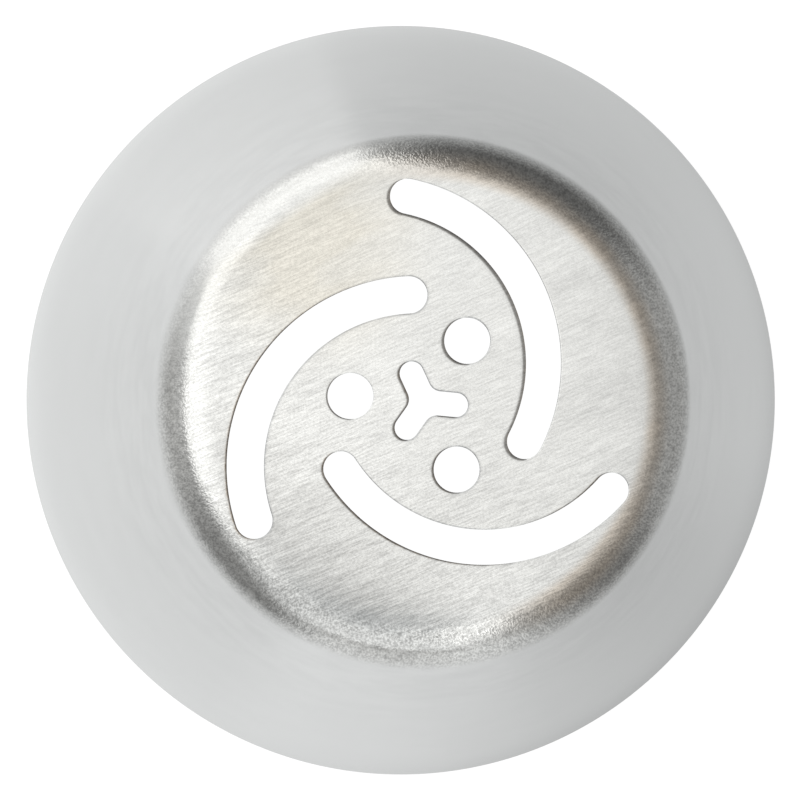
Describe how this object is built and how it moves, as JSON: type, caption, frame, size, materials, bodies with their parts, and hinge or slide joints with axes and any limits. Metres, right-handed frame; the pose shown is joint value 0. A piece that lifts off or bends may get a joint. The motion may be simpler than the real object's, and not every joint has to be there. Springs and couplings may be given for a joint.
{
  "type": "piping nozzle",
  "caption": "Tapered drawn steel icing nozzle, open at its wide rim, with a swirl of curved slots, round holes and a lobed opening cut through its flat face.",
  "frame": {"origin": "centre of the wide rim, in the plane that the rim stands on", "axes": "+Z along the nozzle's axis, from the wide rim to the pierced face; seen from +Z with +X to the right and +Y up, the slots lie as in the picture"},
  "size_m": [0.035, 0.035, 0.038],
  "materials": {
    "steel": "satin stainless sheet: straight brush lines on the flat face, fine grain on the drawn shoulder, smooth satin wall, brown tint along the cut edges"
  },
  "bodies": {
    "root": {"nozzle_shell": "steel"}
  },
  "joints": []
}
